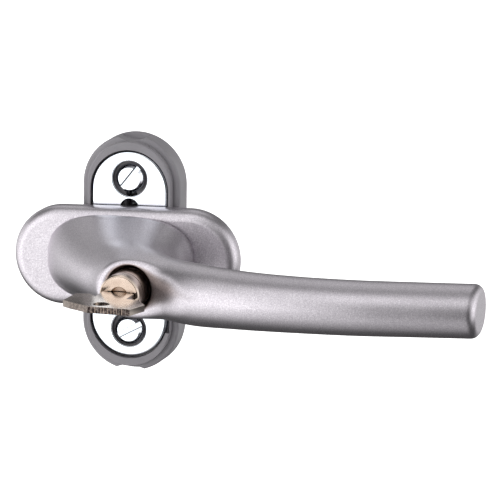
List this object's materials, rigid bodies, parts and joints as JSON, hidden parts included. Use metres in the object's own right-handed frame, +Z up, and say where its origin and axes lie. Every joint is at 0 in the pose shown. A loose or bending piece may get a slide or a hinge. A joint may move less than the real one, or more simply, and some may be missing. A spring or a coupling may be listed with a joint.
{
  "type": "tilt turn window handle",
  "caption": "Lockable tilt-turn window handle: oval base, swivelling cover, curved lever on a square spindle, push-in lock cylinder and flat key.",
  "frame": {"origin": "where the spindle axis meets the mounting face of the base", "axes": "+Z up along the base, +X the way the lever points, -Y out of the front, +Y along the spindle into the sash"},
  "size_m": [0.1406, 0.117, 0.067],
  "materials": {
    "silver_paint": "satin metallic silver, fine sparkle",
    "base_plastic": "mid grey moulded plastic, fine matt texture",
    "bright_zinc": "bright zinc plating",
    "bush_plastic": "smooth black plastic",
    "steel": "plain steel",
    "zinc_casting": "raw zinc casting",
    "lock_nickel": "nickel-plated brass",
    "wafer_brass": "plain brass",
    "key_nickel": "bright nickel-plated brass"
  },
  "bodies": {
    "base": {"base_plate": "base_plastic", "steel_plate": "bright_zinc", "mounting_screws": "bright_zinc", "bearing_bush": "bush_plastic", "lock_ring": "steel", "detent_balls": "steel", "detent_springs": "steel"},
    "lever": {"lever_handle": "silver_paint", "spindle": "steel", "spindle_grub_screw": "steel", "retaining_ring": "steel", "detent_wheel": "zinc_casting", "thrust_washer": "steel", "lock_stop_screw": "steel", "lock_return_spring": "steel"},
    "cover": {"cover_cap": "silver_paint"},
    "lock_cylinder": {"cylinder_housing": "lock_nickel", "cylinder_front_ring": "lock_nickel", "bolt_carrier": "zinc_casting", "lock_bolt": "steel"},
    "plug": {"lock_plug": "lock_nickel", "lock_wafers": "wafer_brass", "lock_cam": "zinc_casting"},
    "key": {"key": "key_nickel"}
  },
  "joints": [
    {"name": "handle_turn", "type": "hinge", "parent": "base", "child": "lever", "pos_m": [0, 0, 0], "axis": [0, -1, 0], "range_deg": [-90, 90]},
    {"name": "cover_swivel", "type": "hinge", "parent": "base", "child": "cover", "pos_m": [0.0002, -0.011, 0], "axis": [0, -1, 0], "range_deg": [-1.9, 88.1]},
    {"name": "cylinder_push", "type": "slide", "parent": "lever", "child": "lock_cylinder", "axis": [0, 1, 0], "range_m": [0, 0.006], "deforming": ["lock_return_spring"]},
    {"name": "key_turn", "type": "hinge", "parent": "lock_cylinder", "child": "plug", "pos_m": [0.01345, -0.0585, 0], "axis": [0, -1, 0], "range_deg": [0, 90]},
    {"name": "key_withdraw", "type": "slide", "parent": "plug", "child": "key", "axis": [0, -1, 0], "range_m": [0, 0.026]}
  ]
}
